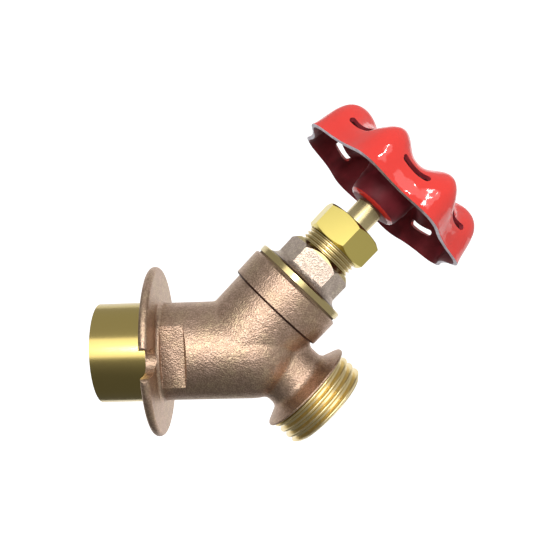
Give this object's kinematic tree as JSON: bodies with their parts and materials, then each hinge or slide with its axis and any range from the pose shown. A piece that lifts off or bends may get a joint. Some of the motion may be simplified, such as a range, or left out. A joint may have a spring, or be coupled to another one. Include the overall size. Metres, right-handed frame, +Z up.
{
  "type": "garden hose valve with solder cup inlet and wall flange",
  "caption": "Angled wall tap: solder cup inlet with a slotted flange, cast body, sloping bonnet with a stamped lobed handwheel, and a male hose thread outlet.",
  "frame": {"origin": "centre of the inlet's mouth, where the copper pipe goes into the solder cup", "axes": "+X runs along the inlet into the valve, +Z is up as the valve stands on a wall, and Y is across; the stem leans 45 degrees forward and up, and the outlet points 45 degrees forward and down, both in the XZ plane"},
  "size_m": [0.0988, 0.0508, 0.0873],
  "materials": {
    "cast_bronze": "sand cast and tumbled",
    "machined_brass": "bright machined",
    "red_enamel": "gloss dip enamel on pressed steel",
    "rubber": "moulded",
    "packing": "pressed graphite packing",
    "gasket_fibre": "pressed fibre",
    "plated_steel": "zinc plated"
  },
  "bodies": {
    "valve": {"body": "cast_bronze", "bonnet_gasket": "gasket_fibre", "bonnet": "cast_bronze", "packing_washer": "machined_brass", "stem_packing": "packing", "packing_gland": "machined_brass", "packing_nut": "machined_brass"},
    "disc": {"seat_washer": "rubber"},
    "spindle": {"stem": "machined_brass", "washer_screw": "machined_brass", "handwheel": "red_enamel", "lock_washer": "plated_steel", "handwheel_screw": "plated_steel"}
  },
  "joints": [
    {"name": "stem_lift", "type": "slide", "parent": "valve", "child": "disc", "axis": [0.7071, 0, 0.7071], "range_m": [0, 0.00763]},
    {"name": "stem_turn", "type": "hinge", "parent": "disc", "child": "spindle", "pos_m": [0.0375, 0, 0], "axis": [0.7071, 0, 0.7071], "range_deg": [0, 1080]}
  ],
  "couplings": [
    {"joint": "stem_lift", "follows": "stem_turn", "m_per_rad": 0.00040425}
  ]
}
